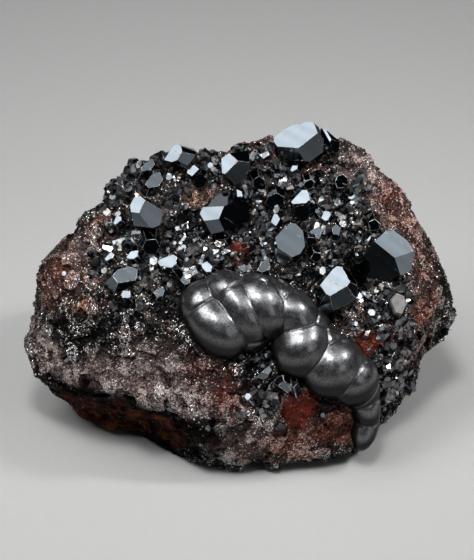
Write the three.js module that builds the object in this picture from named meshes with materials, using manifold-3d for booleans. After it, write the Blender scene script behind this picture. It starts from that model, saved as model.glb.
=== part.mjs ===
// A hematite specimen: a fist-sized lump of iron-stained rock, a band of kidney ore across its
// front, and bright black hematite crystals standing on its sloping top.
//
// Millimetres, +Z up, +X to the viewer's right, -Y towards the viewer. The origin is on the
// surface that the lump rests on, below the middle of its box.
//
// The front was drawn from one photograph. A point that the photograph shows is written as
// its pixel there, and sight() turns it into a line of sight. Sizes are real millimetres.
import * as THREE from "three";
import { ConvexGeometry } from "three/addons/geometries/ConvexGeometry.js";
import { ImprovedNoise } from "three/addons/math/ImprovedNoise.js";
import { mergeVertices } from "three/addons/utils/BufferGeometryUtils.js";
import Module from "manifold-3d";

// Driving dimensions
const MM_PER_PIXEL = 0.235; // gives a lump 101 mm wide
const GAP = 0.3; // between pieces that touch
const TOUCHING = 0.02; // cubic millimetres shared by crystals that have grown together
const RESTING_LEVEL = -2.2; // the lump is cut flat here
const ROCK_FACETS = 9; // subdivisions of the lump's surface
const FINER_IN_FRONT = 0.35;
const LOBE_SIDES = { large: 11, small: 9, hollow: 9 };
const SMALL_LOBE = 5; // half length, up to
const HUMMOCKS = { size: 9.5, height: 2.9 };
const KNOBS = { size: 4.3, height: 1.3 };
const ROUGHER_BEHIND = 0.7; // the back was broken off and has no crust
const EDGE_WEAR = 2.5; // degrees over which the lump's edges are worn round
const FULLER = 0.8; // puts back what the wear and the flat facets take off

// The viewpoint of the photograph
const PICTURE_CENTRE = { x: 237, y: 280 }; // pixels
const ELEVATION = THREE.MathUtils.degToRad(35);
const EYE_DISTANCE = 520;
const AIM = new THREE.Vector3(0, 0, 32);
const RIGHT = new THREE.Vector3(1, 0, 0);
const UP = new THREE.Vector3(0, Math.sin(ELEVATION), Math.cos(ELEVATION));
const NEARER = new THREE.Vector3(0, -Math.cos(ELEVATION), Math.sin(ELEVATION));
const EYE = AIM.clone().addScaledVector(NEARER, EYE_DISTANCE);

// The line of sight through a pixel.
function sight(px, py) {
  const seen = AIM.clone()
    .addScaledVector(RIGHT, (px - PICTURE_CENTRE.x) * MM_PER_PIXEL)
    .addScaledVector(UP, (PICTURE_CENTRE.y - py) * MM_PER_PIXEL);
  return new THREE.Ray(EYE.clone(), seen.sub(EYE).normalize());
}

// The point seen at a pixel that lies back millimetres behind the middle of the lump.
function seenAt(px, py, back) {
  const ray = sight(px, py);
  return ray.at((back - ray.origin.y) / ray.direction.y, new THREE.Vector3());
}

// The point seen at a pixel on the upright plane that faces the viewer, near millimetres
// nearer than the aim.
function seenNear(px, py, near) {
  const level = new THREE.Plane(NEARER, -NEARER.dot(AIM) - near);
  return sight(px, py).intersectPlane(level, new THREE.Vector3());
}

// A direction in the picture: turn is counted from the right towards up, tilt away from the eye.
function facing(turn, tilt) {
  const t = THREE.MathUtils.degToRad(turn);
  const away = THREE.MathUtils.degToRad(tilt);
  return new THREE.Vector3()
    .addScaledVector(RIGHT, Math.cos(t) * Math.sin(away))
    .addScaledVector(UP, Math.sin(t) * Math.sin(away))
    .addScaledVector(NEARER, Math.cos(away));
}

// Solids
const wasm = await Module();
wasm.setup();

function solidOf(geometry) {
  const bare = new THREE.BufferGeometry().setAttribute(
    "position",
    geometry.getAttribute("position"),
  );
  if (geometry.index) bare.setIndex(geometry.index);
  const merged = mergeVertices(bare, 1e-4);
  return new wasm.Manifold(
    new wasm.Mesh({
      numProp: 3,
      vertProperties: merged.attributes.position.array,
      triVerts: new Uint32Array(merged.index.array),
    }),
  );
}

function geometryOf(solid) {
  const mesh = solid.getMesh();
  const geometry = new THREE.BufferGeometry();
  geometry.setAttribute(
    "position",
    new THREE.BufferAttribute(new Float32Array(mesh.vertProperties), 3),
  );
  geometry.setIndex(new THREE.BufferAttribute(new Uint32Array(mesh.triVerts), 1));
  geometry.computeVertexNormals();
  return geometry;
}

function largestPiece(solid) {
  return solid.decompose().sort((a, b) => b.volume() - a.volume())[0];
}

// The lump. Its corners are [pixel x, pixel y, millimetres back] where the photograph shows
// them, and [x, y, z] in millimetres round the back and underneath.
const SKYLINE = [
  [118, 186, 4], [129, 171, 8], [158, 156, 12], [200, 159, 13], [240, 152, 13],
  [300, 143, 15], [343, 139, 15], [358, 152, 13], [376, 178, 11], [397, 196, 9],
  [411, 206, 7], [421, 231, 5], [437, 263, 3], [454, 300, 0], [449, 322, -2],
  [433, 346, -2], [413, 380, -4], [396, 402, -8], [379, 420, -14], [367, 443, -21],
  [353, 458, -25.5], [305, 464, -27.5], [255, 466, -28], [206, 472, -29.5],
  [185, 463, -27], [172, 442, -21], [140, 437, -19], [100, 429, -16], [75, 410, -14],
  [58, 396, -14], [40, 383, -13], [28, 352, -10], [24, 334, -8], [36, 312, -5],
  [37, 285, -3], [47, 262, -1], [65, 241, 0], [89, 221, 2], [108, 206, 3],
];
const CRYSTAL_SLOPE = [
  [150, 185, 4.5], [150, 225, -3], [150, 270, -12], [110, 240, -5], [85, 270, -9],
  [60, 290, -10], [200, 190, 5], [200, 240, -6], [235, 215, 0], [270, 185, 6],
  [270, 240, -6], [320, 175, 8], [320, 225, -2], [330, 265, -10], [370, 205, 3],
  [375, 255, -7], [405, 240, -2], [430, 290, -7], [400, 310, -16], [375, 300, -16],
  [60, 320, -15], [100, 320, -18], [150, 310, -20], [180, 330, -24], [215, 300, -20],
  [260, 290, -17], [300, 300, -18], [340, 320, -20], [380, 345, -20], [415, 340, -14],
];
const FRONT = [
  [60, 350, -18], [120, 355, -23], [170, 370, -27], [220, 370, -29], [262, 378, -29.5],
  [300, 390, -27], [300, 415, -28], [322, 410, -23.5], [345, 405, -25], [340, 428, -28],
  [360, 400, -23], [390, 380, -15],
];
const LEDGE = [
  [48, 372, -17], [70, 379, -22], [100, 383, -25], [135, 393, -27.5], [175, 402, -29.5],
  [205, 427, -31.5], [235, 431, -32],
];
const UNDERCUT = [[62, 389, -14], [85, 399, -15], [120, 410, -17], [160, 420, -19.5], [194, 441, -24]];
const FOOT = [[225, 450, -31], [270, 446, -31], [310, 447, -30], [345, 442, -27], [366, 420, -23]];
const BACK = [
  [-38, 10, 34], [-45, 5, 22], [-40, 19, 16], [-25, 26, 33], [-28, 31, 12], [-2, 32, 34],
  [0, 27, 49], [2, 35, 14], [25, 33, 30], [25, 26, 46], [40, 21, 27], [45, 12, 12],
  [30, 29, 10], [-14, 22, 44],
];
const UNDERSIDE = [
  [-36, 8], [-30, -6], [-19, -16], [40, 0], [38, 17], [22, 26], [-5, 29], [-28, 23],
].map(([x, y]) => [x, y, RESTING_LEVEL - 1.2]);
const HEART = new THREE.Vector3(0, -2, 30); // every corner is in plain view from here

function makeLump(facets, fuller) {
  const corners = [SKYLINE, CRYSTAL_SLOPE, FRONT, LEDGE, UNDERCUT, FOOT]
    .flat()
    .map((corner) => seenAt(...corner))
    .concat([...BACK, ...UNDERSIDE].map((corner) => new THREE.Vector3(...corner)));
  const ways = corners.map((corner) => corner.clone().sub(HEART).normalize());
  const net = new ConvexGeometry(ways).getAttribute("position");
  const cornerAt = (i) => {
    const way = new THREE.Vector3().fromBufferAttribute(net, i);
    return corners[ways.findIndex((w) => w.distanceToSquared(way) < 1e-9)];
  };
  const walls = [];
  for (let i = 0; i < net.count; i += 3) walls.push([cornerAt(i), cornerAt(i + 1), cornerAt(i + 2)]);
  const hit = new THREE.Vector3();
  const reach = (way) => {
    const ray = new THREE.Ray(HEART, way);
    for (const [a, b, c] of walls)
      if (ray.intersectTriangle(a, b, c, false, hit)) return hit.distanceTo(HEART);
    return 0;
  };
  const wornReach = (way) => {
    const side = new THREE.Vector3(0.3, 0.5, 0.8).cross(way).normalize();
    const spread = Math.tan(THREE.MathUtils.degToRad(EDGE_WEAR));
    let sum = reach(way);
    for (let k = 0; k < 5; k++) {
      const turned = side.clone().applyAxisAngle(way, (k * 2 * Math.PI) / 5);
      sum += reach(way.clone().addScaledVector(turned, spread).normalize());
    }
    return sum / 6;
  };
  const noise = new ImprovedNoise();
  const ridged = (p, { size, height }) =>
    height * (0.5 - 2 * Math.abs(noise.noise(p.x / size, p.y / size, p.z / size)));
  const lump = new THREE.IcosahedronGeometry(1, facets);
  const place = lump.getAttribute("position");
  for (let i = 0; i < place.count; i++) {
    const way = new THREE.Vector3().fromBufferAttribute(place, i).normalize();
    way.addScaledVector(NEARER, FINER_IN_FRONT).normalize();
    const point = HEART.clone().addScaledVector(way, wornReach(way) + fuller);
    const rougher = 1 + ROUGHER_BEHIND * THREE.MathUtils.smoothstep(point.y, 8, 20);
    point.addScaledVector(way, rougher * (ridged(point, HUMMOCKS) + ridged(point, KNOBS)));
    point.z = Math.max(point.z, RESTING_LEVEL);
    place.setXYZ(i, point.x, point.y, point.z);
  }
  return lump;
}

const lump = makeLump(ROCK_FACETS, FULLER);
const lumpMesh = new THREE.Mesh(lump);

// The point of the lump that is seen at a pixel.
function onLump(px, py) {
  const ray = sight(px, py);
  const [first] = new THREE.Raycaster(ray.origin, ray.direction).intersectObject(lumpMesh);
  if (!first) throw new Error(`no rock is seen at ${px}, ${py}`);
  return first.point;
}

// The kidney ore: swellings grown into each other, in a band that curves down to the right.
// Each is [pixel x, pixel y, how near the viewer its middle is, half length, half width, turn
// of its length, half depth], with sizes in millimetres and the turn in degrees.
const LOBES = [
  [217, 327, 21.8, 8.2, 6.0, 134, 7.0],
  [199, 303, 20.6, 5.4, 4.4, 62, 6.0],
  [226, 291, 20.4, 5.2, 4.6, 150, 6.2],
  [241, 311, 21.2, 8.6, 4.8, 122, 7.1],
  [262, 306, 20.4, 8.0, 5.6, 118, 7.2],
  [276, 297, 18.6, 5.0, 4.2, 140, 6.0],
  [293, 314, 19.8, 6.2, 5.4, 130, 6.6],
  [310, 325, 17.2, 4.6, 4.4, 135, 6.4],
  [300, 348, 17.8, 7.2, 6.2, 48, 7.2],
  [322, 342, 16.6, 5.4, 4.4, 135, 6.4],
  [331, 367, 16.0, 7.4, 6.6, 44, 7.2],
  [345, 355, 14.0, 4.6, 4.2, 130, 6.0],
  [355, 379, 13.6, 6.2, 5.2, 56, 6.8],
  [363, 392, 10.2, 4.6, 3.6, 60, 6.0],
  [366, 408, 8.8, 4.4, 3.3, 96, 5.6],
  [365, 428, 6.4, 5.4, 3.0, 76, 5.0],
  [254, 340, 19.8, 3.4, 2.6, 30, 4.6],
];

// A lobe is half an egg on a short stem that goes into the rock.
function makeLobe([px, py, near, long, wide, turn, deep], sides, grow) {
  const along = facing(turn, 90);
  const basis = new THREE.Matrix4().makeBasis(
    along.clone().multiplyScalar(long + grow),
    NEARER.clone().multiplyScalar(deep + grow),
    along.clone().cross(NEARER).multiplyScalar(wide + grow),
  );
  basis.setPosition(seenNear(px, py, near));
  const rings = sides > LOBE_SIDES.small ? 4 : 3;
  const profile = [new THREE.Vector2(0, -0.75), new THREE.Vector2(0.86, -0.75)];
  for (let k = 0; k <= rings; k++) {
    const rise = (k * Math.PI) / 2 / rings;
    profile.push(new THREE.Vector2(Math.cos(rise), Math.sin(rise)));
  }
  profile[profile.length - 1].x = 0;
  return solidOf(new THREE.LatheGeometry(profile, sides).applyMatrix4(basis));
}

function makeKidneyOre() {
  const sides = ([, , , long]) => (long > SMALL_LOBE ? LOBE_SIDES.large : LOBE_SIDES.small);
  return wasm.Manifold.union(LOBES.map((lobe) => makeLobe(lobe, sides(lobe), 0)));
}

function makeKidneyHollow() {
  return wasm.Manifold.union(LOBES.map((lobe) => makeLobe(lobe, LOBE_SIDES.hollow, 1.8 * GAP)));
}

// Crystals. Each has one broad face, traced as pixels, and the outline of the whole crystal.
// leans is how far the faces round the broad one lean outwards, in degrees, edge by edge.
const KEY = [130, 23]; // the way most broad faces look: up and to the left
const SOFT = [62, 24]; // up and to the right
const LOW = [285, 14]; // down towards the viewer
const NARROWING = 3; // degrees, of a crystal towards its hidden end

const BIG_CRYSTALS = [
  {
    name: "crown",
    broad: [[273.4, 141], [274.2, 137], [284.5, 128.3], [293.6, 124], [310, 121.2], [314, 123.2],
      [317.7, 133], [298.5, 148], [277.2, 146.4]],
    outline: [[273.4, 141], [274.2, 137], [284.5, 128.3], [293.6, 124], [310, 121.2], [319, 125],
      [324, 140], [323.4, 152], [310, 161.5], [299, 161], [284, 160], [275, 154]],
    faces: [112, 27], leans: [5, 5, 5, 5, 12, 24, 34, 30, 14], seat: [300, 156], height: 4.5,
  },
  {
    name: "crown_companion",
    broad: [[322, 128], [326, 130], [331, 139], [330, 142]],
    outline: [[320, 127], [326, 129], [340, 141], [339, 151], [328, 159], [322, 155]],
    faces: [128, 26], leans: [10, 35, 38, 20], seat: [331, 152], height: 2.6,
  },
  {
    name: "ridge_left",
    broad: [[164, 160], [170, 150], [173.5, 145], [178, 144.5], [181, 146], [182, 152], [177, 160],
      [172, 162]],
    outline: [[164, 160], [170, 150], [174, 144], [190, 142], [197, 151], [194, 158], [185, 169],
      [176, 165], [170, 163]],
    faces: KEY, leans: [5, 5, 5, 20, 46, 42, 30, 15], seat: [178, 168], height: 3.5,
  },
  {
    name: "ridge_middle",
    broad: [[221, 157], [229, 153], [238, 161], [225, 174], [222, 173]],
    outline: [[221, 157], [229, 153], [237, 148], [250, 149], [250, 163], [247, 178], [236, 185],
      [228, 182], [222, 173]],
    faces: [138, 24], leans: [5, 42, 40, 20, 5], seat: [236, 170], height: 4.2,
  },
  {
    name: "left_upper",
    broad: [[130, 205], [134, 197], [140, 196], [145, 200], [139, 213], [131, 212]],
    outline: [[129, 207], [134, 197], [140, 196], [150, 198], [160, 202], [163, 214], [160, 225],
      [153, 228], [132, 226], [129, 221]],
    faces: [135, 22], leans: [5, 5, 15, 52, 46, 10], seat: [146, 214], height: 3.6,
  },
  {
    name: "centre_left",
    broad: [[199.8, 213.5], [202.9, 207.2], [224, 206.2], [218.8, 219], [204, 220.8]],
    outline: [[199.8, 213.5], [203, 204], [209, 193], [219, 188.5], [238, 189], [246, 198], [251, 216],
      [240, 226], [223, 231.5], [207.6, 235], [203, 227]],
    faces: [140, 20], leans: [5, 40, 38, 49, 8], seat: [222, 218], height: 5.2,
  },
  {
    name: "centre_left_shoulder",
    broad: [[236.8, 189.5], [241.5, 191.5], [243, 198], [237.4, 200]],
    faces: KEY, leans: [8, 8, 10, 10], seat: [240, 196], height: 5.2, root: 1,
  },
  {
    name: "centre",
    broad: [[275, 238], [283, 229], [290, 223], [295, 223], [303, 231], [305, 246], [300, 254], [292, 257],
      [278, 248]],
    outline: [[274, 239], [283, 229], [290, 223], [296, 223], [303, 230], [306, 247], [301, 257],
      [288, 269], [276, 260]],
    faces: [66, 20], leans: [10, 8, 5, 5, 5, 8, 20, 42, 25], seat: [289, 246], height: 4.6,
  },
  {
    name: "lower_right",
    broad: [[320, 285], [333, 269], [337, 266], [342, 267], [350, 282], [347, 286], [330, 296], [326, 294]],
    outline: [[308, 298], [314, 284], [322, 274], [334, 265], [346, 265], [357, 282], [358, 297],
      [346, 306], [334, 310], [318, 312], [309, 306]],
    faces: [132, 22], leans: [36, 5, 5, 32, 40, 42, 40, 42], seat: [336, 288], height: 5.2,
  },
  {
    name: "right",
    broad: [[374.5, 241.5], [377.5, 236.5], [386.5, 230.5], [394, 230.3], [407.5, 240], [415, 250.8],
      [394.7, 257.7]],
    outline: [[363, 261], [368, 249], [374.5, 241.5], [386.5, 230.5], [394, 230.3], [407.5, 240],
      [415.3, 252], [411.5, 271], [399, 275.8], [385, 281], [371, 277.5], [363, 269]],
    faces: [48, 22], leans: [8, 5, 5, 5, 8, 66, 44], seat: [388, 258], height: 5.0,
  },
];

// Smaller ones: name, broad face, way it looks and, at the skyline, a pixel of the rock below.
const SMALL_CRYSTALS = [
  ["left_tip", [[113, 223], [116, 216], [121, 216], [122, 220], [115, 225]], KEY],
  ["slope_a", [[145, 184], [152, 174], [160, 172], [163, 179], [159, 186], [149, 188]], SOFT],
  ["shoulder_a", [[141, 167], [152, 158], [155, 164], [151, 170], [142, 171]], SOFT, [150, 176]],
  ["upper_a", [[187, 173], [188, 169], [194, 165], [199, 169], [192, 176]], KEY],
  ["upper_c", [[253, 187], [253, 180], [259, 176], [265, 180], [266, 188], [260, 191]], LOW],
  ["upper_b", [[193, 184], [196, 178], [202, 175], [207, 179], [204, 186], [197, 188]], LOW],
  ["upper_d", [[265, 203], [269, 196], [277, 193], [284, 197], [283, 205], [273, 209]], LOW],
  ["upper_f", [[303, 186], [305, 181], [311, 179], [315, 182], [313, 188], [307, 190]], LOW],
  ["upper_e", [[290, 170], [294, 162], [298, 163], [297, 169], [292, 172]], KEY],
  ["upper_g", [[335, 182], [337, 176], [343, 174], [348, 178], [348, 184], [343, 188], [337, 188]], [60, 4]],
  ["middle_a", [[291, 202], [302, 190], [307, 190], [309, 195], [309, 200], [306, 203], [293, 204]], KEY],
  ["middle_b", [[294, 215], [295, 207], [304, 205], [310, 209], [309, 217], [301, 221]], LOW],
  ["middle_c", [[321, 218], [324, 211], [329, 211], [331, 214], [328, 220], [325, 221]], KEY],
  ["middle_e", [[310, 231], [318, 227], [323, 230], [319, 239], [313, 236]], SOFT],
  ["middle_f", [[332, 228], [336, 224], [341, 228], [339, 235], [333, 234]], SOFT],
  ["middle_g", [[271, 222], [274, 214], [277, 214], [280, 219], [276, 226]], KEY],
  ["right_a", [[368, 222], [375, 219], [381, 224], [379, 230], [370, 231]], LOW],
  ["left_a", [[104, 259], [111, 251], [114, 254], [113, 258], [106, 261]], KEY],
  ["left_b", [[126, 257], [131, 251], [138, 250], [138, 256], [134, 259], [128, 259]], KEY],
  ["left_plate", [[112, 276], [117, 270], [128, 266], [138, 269], [136, 280], [118, 283]], SOFT],
  ["left_d", [[157, 262], [160, 259], [173, 254], [177, 257], [176, 264], [171, 268], [160, 266]], KEY],
  ["left_e", [[142, 248], [146, 240], [156, 239], [160, 247], [155, 255], [146, 254]], LOW],
  ["centre_b", [[201, 264], [207, 261], [212, 266], [211, 272], [206, 272], [202, 268]], KEY],
  ["centre_d", [[180, 280], [184, 275], [190, 277], [190, 283], [185, 285]], SOFT],
  ["centre_e", [[153, 292], [163, 286], [165, 290], [163, 296], [157, 297]], SOFT],
  ["centre_f", [[121, 294], [123, 290], [130, 291], [131, 296], [129, 298], [122, 298]], KEY],
  ["centre_g", [[257, 270], [262, 261], [269, 260], [270, 269], [262, 272]], [75, 22]],
  ["centre_h", [[310, 259], [314, 252], [321, 253], [322, 259], [316, 263]], LOW],
  ["centre_i", [[304, 240], [309, 237], [316, 238], [317, 243], [308, 247]], LOW],
  ["dark", [[350, 268], [357, 263], [366, 270], [366, 280], [361, 287], [355, 281]], LOW],
  ["spur", [[352, 288], [361, 289], [358, 296], [355, 296]], [20, 26]],
  ["front_a", [[244, 397], [246, 393], [250, 393], [252, 396], [249, 400], [246, 400]], KEY],
  ["front_b", [[285, 384], [290, 378], [296, 377], [298, 383], [293, 388]], [110, 20]],
  ["front_c", [[273, 383], [277, 377], [283, 375], [284, 381], [278, 386]], [150, 30]],
  ["front_d", [[262, 372], [267, 367], [272, 370], [269, 374]], SOFT],
];
const QUARTZ_GRAIN = [
  "grain", [[391, 300], [397, 293], [404, 296], [406, 305], [402, 314], [396, 312]], [40, 14],
];

// A smaller crystal stands out by its own size, and its faces away from the light lean most.
function smallCrystal([name, broad, faces, seat]) {
  const middle = middleOf(broad);
  const reaches = broad.map(([x, y]) => Math.hypot(x - middle[0], y - middle[1]));
  const size = MM_PER_PIXEL * 2 * Math.max(...reaches);
  const leans = broad.map(([x, y], i) => {
    const [nextX, nextY] = broad[(i + 1) % broad.length];
    const way = Math.atan2(middle[1] - (y + nextY) / 2, (x + nextX) / 2 - middle[0]);
    return 7 - 9 * Math.cos(way - THREE.MathUtils.degToRad(faces[0]));
  });
  return { name, broad, faces, leans, seat, height: 0.5 + 0.4 * size, root: 1 + 0.4 * size };
}

function middleOf(pixels) {
  const sum = pixels.reduce(([x, y], [px, py]) => [x + px, y + py], [0, 0]);
  return [sum[0] / pixels.length, sum[1] / pixels.length];
}

// The planes that bound a crystal, each moved outwards by grow.
function crystalPlanes({ broad, outline, faces, leans, seat, height, root = 4.5 }, grow) {
  const out = facing(...faces);
  const near = onLump(...(seat ?? middleOf(broad))).sub(AIM).dot(NEARER) + height;
  const centre = seenNear(...middleOf(broad), near);
  const level = new THREE.Plane().setFromNormalAndCoplanarPoint(NEARER, centre);
  const top = new THREE.Plane().setFromNormalAndCoplanarPoint(out, centre);
  const base = new THREE.Plane().setFromNormalAndCoplanarPoint(
    out.clone().negate(),
    centre.clone().addScaledVector(out, -height - root),
  );
  const planes = [top, base];
  const edges = (pixels, plane, use) => {
    const corners = pixels.map((pixel) => sight(...pixel).intersectPlane(plane, new THREE.Vector3()));
    const middle = new THREE.Vector3();
    for (const corner of corners) middle.addScaledVector(corner, 1 / corners.length);
    corners.forEach((corner, i) => {
      const along = corners[(i + 1) % corners.length].clone().sub(corner).normalize();
      const outward = along.cross(plane.normal);
      if (outward.dot(corner.clone().sub(middle)) < 0) outward.negate();
      planes.push(new THREE.Plane().setFromNormalAndCoplanarPoint(use(outward, i), corner));
    });
  };
  const leaning = (outward, towards, degrees) => {
    const lean = THREE.MathUtils.degToRad(degrees);
    return outward.clone().multiplyScalar(Math.cos(lean)).addScaledVector(towards, Math.sin(lean));
  };
  edges(broad, top, (outward, i) => leaning(outward, out, leans[i]));
  if (outline) edges(outline, level, (outward) => leaning(outward, NEARER, -NARROWING));
  for (const plane of planes) plane.constant -= grow;
  return planes;
}

// The solid inside a set of planes: its corners are where three of them meet and none cuts.
function insideOf(planes) {
  const corners = [];
  const n = planes.length;
  for (let i = 0; i < n; i++)
    for (let j = i + 1; j < n; j++)
      for (let k = j + 1; k < n; k++) {
        const [a, b, c] = [planes[i], planes[j], planes[k]];
        const bc = b.normal.clone().cross(c.normal);
        const det = a.normal.dot(bc);
        if (Math.abs(det) < 1e-3) continue;
        const point = bc
          .multiplyScalar(-a.constant)
          .addScaledVector(c.normal.clone().cross(a.normal), -b.constant)
          .addScaledVector(a.normal.clone().cross(b.normal), -c.constant)
          .divideScalar(det);
        const inside = planes.every((plane) => plane.distanceToPoint(point) < 1e-4);
        if (inside && corners.every((corner) => corner.distanceTo(point) > 0.02)) corners.push(point);
      }
  return solidOf(new ConvexGeometry(corners));
}

// Crystals that overlap have grown together and are one solid, named after the first. Those
// that only come close keep a gap.
function growTogether(crystals) {
  const groups = [];
  for (const crystal of crystals) {
    const one = { ...crystal };
    for (let i = groups.length - 1; i >= 0; i--) {
      if (groups[i].solid.intersect(one.solid).volume() > TOUCHING) {
        const [other] = groups.splice(i, 1);
        one.name = other.name;
        one.solid = other.solid.add(one.solid);
        one.room = other.room.add(one.room);
      }
    }
    groups.push(one);
  }
  groups.forEach((one, i) => {
    for (const other of groups.slice(0, i)) one.solid = one.solid.subtract(other.room);
    one.solid = largestPiece(one.solid);
  });
  return groups;
}

function makeCrystal(crystal) {
  return {
    name: crystal.name,
    solid: insideOf(crystalPlanes(crystal, 0)),
    room: insideOf(crystalPlanes(crystal, GAP)),
  };
}

const crystals = growTogether([...BIG_CRYSTALS, ...SMALL_CRYSTALS.map(smallCrystal)].map(makeCrystal));
const crystalRoom = wasm.Manifold.union(crystals.map(({ room }) => room));
const quartz = makeCrystal({ ...smallCrystal(QUARTZ_GRAIN), height: 1 });
const kidneyOre = largestPiece(makeKidneyOre().subtract(crystalRoom));
const matrix = largestPiece(
  solidOf(lump).subtract(makeKidneyHollow()).subtract(crystalRoom).subtract(quartz.room),
);

// Finishes
const rockFinish = new THREE.MeshStandardMaterial({ color: 0x3a2f2c, roughness: 0.8, metalness: 0.1 });
const kidneyFinish = new THREE.MeshStandardMaterial({ color: 0x4a4b4e, roughness: 0.28, metalness: 1 });
const crystalFinish = new THREE.MeshStandardMaterial({ color: 0x3c4046, roughness: 0.06, metalness: 1 });
const quartzFinish = new THREE.MeshStandardMaterial({ color: 0x9c9a94, roughness: 0.5, metalness: 0 });

const specimen = new THREE.Group();

function addPiece(name, solid, finish) {
  const mesh = new THREE.Mesh(geometryOf(solid), finish);
  mesh.name = name;
  specimen.add(mesh);
}

addPiece("matrix", matrix, rockFinish);
addPiece("kidney_ore", kidneyOre, kidneyFinish);
addPiece("quartz_grain", quartz.solid, quartzFinish);
for (const { name, solid } of crystals) addPiece(`crystal_${name}`, solid, crystalFinish);

// The origin: below the middle, at the level that the lump rests on.
const box = new THREE.Box3().setFromObject(specimen);
const middle = box.getCenter(new THREE.Vector3());
specimen.position.set(-middle.x, -middle.y, -box.min.z);

export default specimen;
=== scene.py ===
# %% [markdown]
# # A hematite specimen
# Hematite is an iron oxide. This hand-sized lump shows three of its forms: a granular crust stained
# rust red, a band of kidney ore that grew as rounded lobes, and bright black crystals with flat
# faces. The exact solids come first, as a frame that nothing may move. Every finer surface is
# then grown on that frame, so the lump keeps its size whatever we add to it.

# %% Load the solids
import math

import bmesh
import bpy
import numpy as np
from mathutils import Matrix, Vector
from mathutils.bvhtree import BVHTree


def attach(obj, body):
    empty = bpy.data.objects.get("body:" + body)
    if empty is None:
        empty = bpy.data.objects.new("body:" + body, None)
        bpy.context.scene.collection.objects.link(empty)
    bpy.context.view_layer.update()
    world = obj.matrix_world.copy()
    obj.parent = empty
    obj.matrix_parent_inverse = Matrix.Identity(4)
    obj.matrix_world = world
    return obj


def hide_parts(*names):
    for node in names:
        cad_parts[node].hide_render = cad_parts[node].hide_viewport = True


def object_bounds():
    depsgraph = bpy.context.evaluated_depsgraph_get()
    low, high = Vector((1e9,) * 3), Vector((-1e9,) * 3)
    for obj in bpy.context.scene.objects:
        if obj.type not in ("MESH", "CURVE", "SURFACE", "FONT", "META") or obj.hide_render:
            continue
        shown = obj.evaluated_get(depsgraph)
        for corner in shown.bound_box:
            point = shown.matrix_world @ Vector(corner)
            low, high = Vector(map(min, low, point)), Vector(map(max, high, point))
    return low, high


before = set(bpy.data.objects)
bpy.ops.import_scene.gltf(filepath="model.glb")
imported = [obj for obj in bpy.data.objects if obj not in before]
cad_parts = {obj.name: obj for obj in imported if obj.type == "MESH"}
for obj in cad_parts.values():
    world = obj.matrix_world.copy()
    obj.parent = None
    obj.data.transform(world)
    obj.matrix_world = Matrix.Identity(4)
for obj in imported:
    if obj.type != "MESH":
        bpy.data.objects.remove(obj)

MM = 0.001
SOLIDS_BOX = [list(corner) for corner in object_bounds()]
print("solids:", len(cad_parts), "nodes")
print("box in mm:", [[round(v / MM, 1) for v in corner] for corner in SOLIDS_BOX])

# %% [markdown]
# ## The camera
# A specimen is photographed from above at a slant, with a long lens so that it isn't distorted.
# The same view also places details: a pixel of the picture becomes a line of sight, and where
# that line meets the rock, the detail sits on the rock from every side.

# %% The camera and its lines of sight
PICTURE = (474, 560)  # pixels
PIXEL = 0.235 * MM
ELEVATION = math.radians(35)
AIM = Vector((-1.107, -1.632, 34.2)) * MM
DISTANCE = 520 * MM
RIGHT = Vector((1, 0, 0))
UP = Vector((0, math.sin(ELEVATION), math.cos(ELEVATION)))
NEARER = Vector((0, -math.cos(ELEVATION), math.sin(ELEVATION)))
EYE = AIM + NEARER * DISTANCE


def sight(px, py):
    """The direction of the line of sight through a pixel."""
    seen = AIM + RIGHT * (px - PICTURE[0] / 2) * PIXEL + UP * (PICTURE[1] / 2 - py) * PIXEL
    return (seen - EYE).normalized()


def seen_near(px, py, near):
    """The point seen at a pixel, near millimetres nearer than the aim."""
    way = sight(px, py)
    return EYE + way * ((near * MM - DISTANCE) / way.dot(NEARER))


def facing(turn, tilt):
    """A direction in the picture: turn runs from right to up, tilt away from the viewer."""
    turn, tilt = math.radians(turn), math.radians(tilt)
    across = RIGHT * math.cos(turn) + UP * math.sin(turn)
    return across * math.sin(tilt) + NEARER * math.cos(tilt)


def looking(place, target):
    """The matrix of a camera or lamp at a place that looks at a target, level with the picture."""
    back = (place - target).normalized()
    across = (RIGHT - back * RIGHT.dot(back)).normalized()
    return Matrix.Translation(place) @ Matrix((across, back.cross(across), back)).transposed().to_4x4()


camera = bpy.data.objects.new("camera", bpy.data.cameras.new("camera"))
bpy.context.scene.collection.objects.link(camera)
camera.matrix_world = looking(EYE, AIM)
camera.data.sensor_width = 36
camera.data.lens = 36 * DISTANCE / (PICTURE[1] * PIXEL)
camera.data.clip_end = 10
bpy.context.scene.camera = camera
print("lens", round(camera.data.lens, 1), "mm")

# %% [markdown]
# ## The light
# Black mirror-like faces show only what they reflect, so the lamps are placed by the faces. A
# face that looks up and to the left sends the key softbox into the camera and turns white, one
# that looks up and to the right catches a dimmer panel and turns grey, and all others stay black.
# The softboxes throw narrow beams, so that the table far in front, which the lower faces mirror,
# stays dim.

# %% Lamps and surroundings
LAMPS = {  # turn and tilt in the picture, width, height, brightness, distance
    "key": ((131, 47), 0.32, 0.32, 6.0, 0.62),
    "beside_key": ((108, 58), 0.17, 0.22, 4.6, 0.62),
    "soft": ((53, 44), 0.32, 0.34, 1.9, 0.64),
    "top": ((96, 34), 0.11, 0.13, 42.0, 0.62),
    "round": ((38, 64), 0.085, 0.085, 85.0, 0.62),
    "side": ((353, 43), 0.26, 0.26, 1.0, 0.66),
    "behind": ((100, 127), 0.60, 0.50, 0.7, 0.80),
}
HALF_BEAM = math.radians(40)
BEAM_LOSS = 1 - HALF_BEAM / math.tan(HALF_BEAM)  # a narrow beam is brighter for the same power


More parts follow.
